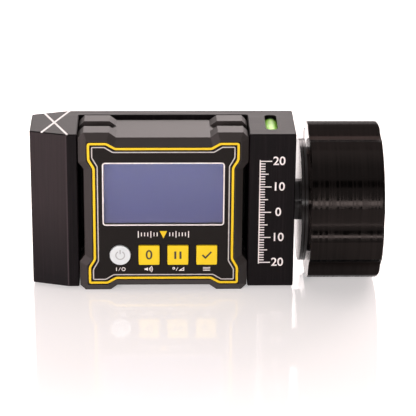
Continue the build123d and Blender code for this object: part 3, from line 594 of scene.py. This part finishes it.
on_off = [sign([(-1.6, -0.75), (-1.6, 0.75)]),
          sign([(-0.7, -0.75), (0.1, 0.75)], THIN_LINE),
          sign(arc(0.7, 0, 360, 1.35), closed=True)]
sounder = [prism(np.array([(-1.9, -0.35), (-1.2, -0.35), (-0.5, -0.8), (-0.5, 0.8), (-1.2, 0.35),
                           (-1.9, 0.35)]) * MM, -INK_LIFT, INK_LIFT),
           *[sign(arc(radius, -42, 42, -0.6)) for radius in (0.8, 1.4, 2.0)]]
angle_or_slope = [sign(arc(0.42, 0, 360, -1.7, 0.35), RING_LINE, True),
                  sign([(-0.75, -0.75), (0.05, 0.75)], THIN_LINE),
                  sign([(0.75, -0.6), (2.5, -0.6), (2.5, 0.6)], closed=True)]
menu = [sign([(-1.5, up), (1.5, up)], MENU_LINE) for up in (-0.65, 0, 0.65)]
signs = []
for across, drawn in zip(KEY_ACROSS, (on_off, sounder, angle_or_slope, menu)):
    signs += moved(drawn, across, SIGN_UP, SIGN_SIZE)
ticks = []
for step in range(-TICKS_EACH_SIDE, TICKS_EACH_SIDE + 1):
    if abs(step) > 1:
        half = (LONG_TICK if step % 4 == 0 else SHORT_TICK) / 2
        ticks.append(stroke([(step * TICK_STEP, -half), (step * TICK_STEP, half)], TICK_LINE))
signs += moved(ticks, 0, TICKS_UP)
make_piece("panel_signs", signs, panel, ink, "gauge")
pointer = prism(np.array([(0, -1.6), (1.35, 1.3), (-1.35, 1.3)]) * MM, -INK_LIFT, INK_LIFT)
make_piece("panel_pointer", moved([pointer], 0, TICKS_UP), panel, yellow_ink, "gauge")

# Display: a clear acrylic window with a white printed edge over a reflective liquid crystal cell,
# which is switched off and looks blue-grey. Its colour fades from greyer at the bottom to deeper
# blue at the top, as painted light and shade. The cell sits in a natural plastic frame, over a
# white light guide and beside a strip of pink and black contact rubber.
WINDOW_LINE = 0.45 * MM
WINDOW_BEND = 1.1 * MM
CRYSTAL_PAINTED_LOW, CRYSTAL_PAINTED_HIGH = "#5C648F", "#2E4285"
CRYSTAL_HEIGHT = 24 * MM
LAYER_PITCH = 0.5 * MM
window_low, window_high = map(np.array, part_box("display_window"))
window_middle = (window_low + window_high) / 2
window_half = (window_high - window_low)[[0, 2]] / 2
pane = new_surface("clear_window_acrylic", {
    "Base Color": "#F2F2FF", "Roughness": 0.08, "IOR": 1.49, "Transmission Weight": 1.0,
    "Specular IOR Level": 0.4})
crystal = new_surface("liquid_crystal_cell", {"Roughness": 0.45, "Specular IOR Level": 0.2})
up = add(crystal, "ShaderNodeSeparateXYZ", {
    "Vector": place_of(crystal, (CRYSTAL_HEIGHT,) * 3, tuple(window_middle))})
# Painted light and shade: the cell's colour fades from greyer at the bottom to deeper blue at the
# top.
painted_fade = add(crystal, "ShaderNodeMapRange", {
    "Value": up.outputs["Z"], "From Min": -0.5, "From Max": 0.5})
painted_tone = add(crystal, "ShaderNodeMix", {
    0: painted_fade.outputs["Result"], 6: linear(CRYSTAL_PAINTED_LOW), 7: linear(CRYSTAL_PAINTED_HIGH)},
    data_type="RGBA")
wire(crystal, {"Base Color": painted_tone.outputs[2]})
guide = moulded("white_light_guide", "#E8E8E2", "#DCDCD4", 1 * MM, 0.01 * MM, {"Roughness": 0.3})
natural = moulded("natural_moulding", "#C9C5B8", "#BDB8AA", 0.5 * MM, 0.02 * MM,
                  {"Roughness": 0.5})
zebra = new_surface("layered_contact_rubber", {"Roughness": 0.7})
layers = add(zebra, "ShaderNodeTexWave", {
    "Vector": place_of(zebra, (LAYER_PITCH, 1, 1)), "Scale": 0.3, "Distortion": 0.0},
    bands_direction="X")
stripes = add(zebra, "ShaderNodeMix", {
    0: layers.outputs["Fac"], 6: linear("#C77A9B"), 7: linear("#2A2426")}, data_type="RGBA")
wire(zebra, {"Base Color": stripes.outputs[2]})
dress(pane, "display_window")
dress(crystal, "lcd_glass")
dress(guide, "lcd_backlight")
dress(natural, "lcd_frame")
dress(zebra, "zebra_strip")
edge = softened(four_fold([tuple(window_half - WINDOW_LINE / 2)]), WINDOW_BEND)
make_piece("window_border", [stroke(edge[::-1], WINDOW_LINE, True)],
           [(window_middle[0], window_low[1], window_middle[2]), *FACING], ink, "gauge")

# Keys: one silver-white round key and three yellow square ones, moulded in gloss plastic. The
# round one has a faint metallic sheen. Each has a sign in matt ink, which moves with its key.
POWER_LINE, HOLD_LINE, SET_LINE = 0.42 * MM, 0.75 * MM, 0.62 * MM
ZERO_SIZE = 5.2 * MM
silver_key = moulded("silver_white_moulding", "#D8E0E0", "#CBD3D3", 0.7 * MM, 0.02 * MM, {
    "Roughness": 0.32, "Metallic": 0.15})
yellow_key = moulded("yellow_gloss_moulding", "#E7CB13", "#E2C30E", 0.8 * MM, 0.01 * MM, {
    "Roughness": 0.35})
key_ink = speckled("black_key_ink", "#2B2620", "#3A342C", 0.8 * MM, {"Roughness": 0.5})
soft_ink = speckled("grey_key_ink", "#A9AEAE", "#9EA3A3", 0.8 * MM, {"Roughness": 0.5})
dress(silver_key, "power_button")
dress(yellow_key, "zero_button", "hold_button", "set_button")
power_sign = [sign(arc(1.6, 120, 420), POWER_LINE), sign([(0, 0.5), (0, 2.2)], POWER_LINE)]
zero_sign = [figure("0", ZERO_SIZE, 0, 0)]
hold_sign = [sign([(across, -1.5), (across, 1.5)], HOLD_LINE) for across in (-0.95, 0.95)]
set_sign = [sign([(-1.6, 0.1), (-0.45, -1.1), (1.7, 1.3)], SET_LINE)]
for name, drawn, printed, slot in (("power", power_sign, soft_ink, "key_silver"),
                                   ("zero", zero_sign, key_ink, "key_yellow"),
                                   ("hold", hold_sign, key_ink, "key_yellow"),
                                   ("set", set_sign, key_ink, "key_yellow")):
    key_low, key_high = map(np.array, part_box(name + "_button"))
    key_middle = (key_low + key_high) / 2
    make_piece(name + "_key_sign", drawn, [(key_middle[0], key_low[1], key_middle[2]), *FACING],
               printed, name + "_key")

# Circuit board and what is soldered to it: glossy green solder mask on glass fibre, matt black
# moulded chips with a fine grain, a bright drawn tin can and the sounder.
mask = moulded("green_solder_mask", "#1F6B35", "#185A2B", 0.8 * MM, 0.01 * MM, {"Roughness": 0.35})
epoxy = moulded("black_chip_epoxy", "#1B1B1B", "#232323", 0.2 * MM, 0.01 * MM, {"Roughness": 0.6})
tin = speckled("drawn_tin_can", "#CFCFCB", "#B7B7B3", 0.6 * MM, {
    "Metallic": 1.0, "Roughness": 0.28})
dress(mask, "main_board")
dress(epoxy, "controller_chip", "tilt_sensor", "key_switches", "buzzer")
dress(tin, "crystal_can")

# Batteries: two cells in glossy printed foil jackets, dark with a copper-coloured end, between
# nickel-plated springs and plates.
JACKET_DARK, JACKET_COPPER = "#22242A", "#B9822E"
CELL_LENGTH = 44.5 * MM
BAND_FROM_SHARE, BAND_FULL_SHARE = 0.2, 0.22
jacket = new_surface("printed_cell_jacket", {"Roughness": 0.3, "Metallic": 0.3})
along_cell = add(jacket, "ShaderNodeSeparateXYZ", {
    "Vector": place_of(jacket, (CELL_LENGTH, 1, 1), (label_middle[0], 0, 0))})
copper_share = add(jacket, "ShaderNodeMapRange", {
    "Value": along_cell.outputs["X"], "From Min": BAND_FROM_SHARE, "From Max": BAND_FULL_SHARE})
bands = add(jacket, "ShaderNodeMix", {
    0: copper_share.outputs["Result"], 6: linear(JACKET_DARK), 7: linear(JACKET_COPPER)},
    data_type="RGBA")
wire(jacket, {"Base Color": bands.outputs[2]})
dress(jacket, "battery_cells")
dress(nickel, "contact_springs", "contact_plates")

# Inserts and pad: bright knurled brass inserts in the rear half take the four screws from behind,
# and a thin, dull black foam pad fills the room between the case and the block.
brass = speckled("turned_brass", "#C9A24E", "#AD8638", 0.5 * MM, {
    "Metallic": 1.0, "Roughness": 0.3})
foam = moulded("closed_cell_foam", "#1E1E1E", "#292929", 0.3 * MM, 0.08 * MM, {"Roughness": 0.9})
dress(brass, "mount_inserts")
dress(foam, "mounting_pad")

# Table: a white glossy board that shows a faint mirror image of the gauge, and runs out of view
# into the pale background. To the eye and in mirrors it is a little brighter than it lights.
FLOOR_HALF = 4.0
FLOOR_DROP = 0.02 * MM
TABLE_GLOW = 0.38
table_top = new_surface("white_gloss_board", {
    "Base Color": "#F3EFED", "Roughness": 0.06, "IOR": 1.5, "Emission Color": "#FFFFFF"})
seen = add(table_top, "ShaderNodeLightPath", {})
shown = seen.outputs["Is Camera Ray"]
for ray in ("Is Glossy Ray", "Is Transmission Ray"):
    shown = add(table_top, "ShaderNodeMath", {0: shown, 1: seen.outputs[ray]},
                operation="ADD", use_clamp=True).outputs[0]
glow = add(table_top, "ShaderNodeMath", {0: shown, 1: TABLE_GLOW}, operation="MULTIPLY")
wire(table_top, {"Emission Strength": glow.outputs[0]})
corners = np.array([(-1, -1, 0), (1, -1, 0), (1, 1, 0), (-1, 1, 0)]) * FLOOR_HALF
mesh = bpy.data.meshes.new("table")
mesh.from_pydata((corners - [0, 0, FLOOR_DROP]).tolist(), [], [(0, 1, 2, 3)])
mesh.materials.append(table_top)
floor = bpy.data.objects.new("table", mesh)
bpy.context.scene.collection.objects.link(floor)

# Light: a pale room that is white behind the gauge and dim behind the viewer, and five soft
# lamps: overhead, behind for the top faces, at the left for the tapered end, and a card over a low
# strip in front, which draw the bright band along the adapter.
NEARLY_WHITE = (1.0, 0.96, 0.95)
# Each lamp's name, place, width and height, watts and colour.
LAMPS = (("overhead", (0.0, -0.4, 1.3), (1.6, 1.2), 3.0, NEARLY_WHITE),
         ("behind", (0.52, 1.5, 0.85), (1.8, 0.9), 22.0, (1.0, 0.89, 0.88)),
         ("left", (-0.36, -0.42, 0.1), (0.2, 0.25), 2.5, (1.0, 0.84, 0.87)),
         ("card", (0.0, -1.2, 0.72), (2.4, 0.4), 1.6, NEARLY_WHITE),
         ("strip", (0.0, -1.25, 0.38), (2.4, 0.14), 7.8, NEARLY_WHITE))
LAMP_TARGET = Vector((0, 0, 0.03))
ROOM_BEHIND = 1.0
ROOM_FRONT = 0.08
DIM_UP_TO, WHITE_FROM = -0.35, 0.25
ROOM_LIGHT = 0.6
ROOM_TINT = (1.0, 0.9, 0.89, 1.0)
world = bpy.data.worlds.new("pale_room")
bpy.context.scene.world = world
world.use_nodes = True
sight = add(world, "ShaderNodeTexCoord", {})
heading = add(world, "ShaderNodeSeparateXYZ", {"Vector": sight.outputs["Generated"]})
around = add(world, "ShaderNodeMapRange", {
    "Value": heading.outputs["Y"], "From Min": DIM_UP_TO, "From Max": WHITE_FROM,
    "To Min": ROOM_FRONT, "To Max": ROOM_BEHIND})
rays = add(world, "ShaderNodeLightPath", {})
mirrored = add(world, "ShaderNodeMath", {
    0: rays.outputs["Is Glossy Ray"], 1: rays.outputs["Is Transmission Ray"]},
    operation="ADD", use_clamp=True)
given = add(world, "ShaderNodeMapRange", {
    "Value": mirrored.outputs[0], "To Min": ROOM_LIGHT, "To Max": 1.0})
lit = add(world, "ShaderNodeMath", {0: around.outputs["Result"], 1: given.outputs["Result"]},
          operation="MULTIPLY")
strength = add(world, "ShaderNodeMath", {0: lit.outputs[0], 1: rays.outputs["Is Camera Ray"]},
               operation="MAXIMUM")
tint = add(world, "ShaderNodeMix", {
    0: rays.outputs["Is Camera Ray"], 6: ROOM_TINT, 7: (1, 1, 1, 1)}, data_type="RGBA")
wire(world, {"Color": tint.outputs[2], "Strength": strength.outputs[0]}, "Background")
for name, spot, size, power, colour in LAMPS:
    light = bpy.data.lights.new(name, "AREA")
    light.shape = "RECTANGLE"
    light.size, light.size_y = size
    light.energy = power
    light.color = colour
    lamp = bpy.data.objects.new(name, light)
    lamp.location = spot
    lamp.rotation_euler = (LAMP_TARGET - Vector(spot)).to_track_quat("-Z", "Y").to_euler()
    lamp.visible_camera = False
    bpy.context.scene.collection.objects.link(lamp)

# Camera: a long lens, a little to the left of the gauge's middle and 22 degrees above it, turned
# slightly to the right and held half a degree off level.
CAMERA_PLACE = (-18.834 * MM, -679.772 * MM, 307.008 * MM)
CAMERA_RIGHTWARD = np.radians(1.68)
CAMERA_DOWNWARD = np.radians(22.36)
CAMERA_ROLL = np.radians(0.49)
SENSOR = 36.0
FOCAL_PIXELS = 1973.7
IMAGE_PIXELS = 416
CLIP_NEAR, CLIP_FAR = 0.01, 20
optics = bpy.data.cameras.new("camera")
optics.sensor_width = SENSOR
optics.lens = SENSOR * FOCAL_PIXELS / IMAGE_PIXELS
optics.clip_start, optics.clip_end = CLIP_NEAR, CLIP_FAR
camera = bpy.data.objects.new("camera", optics)
camera.matrix_world = (Matrix.Translation(CAMERA_PLACE)
                       @ Matrix.Rotation(-CAMERA_RIGHTWARD, 4, "Z")
                       @ Matrix.Rotation(np.pi / 2 - CAMERA_DOWNWARD, 4, "X")
                       @ Matrix.Rotation(CAMERA_ROLL, 4, "Z"))
bpy.context.scene.collection.objects.link(camera)
bpy.context.scene.camera = camera
bpy.context.scene.view_settings.view_transform = "Standard"
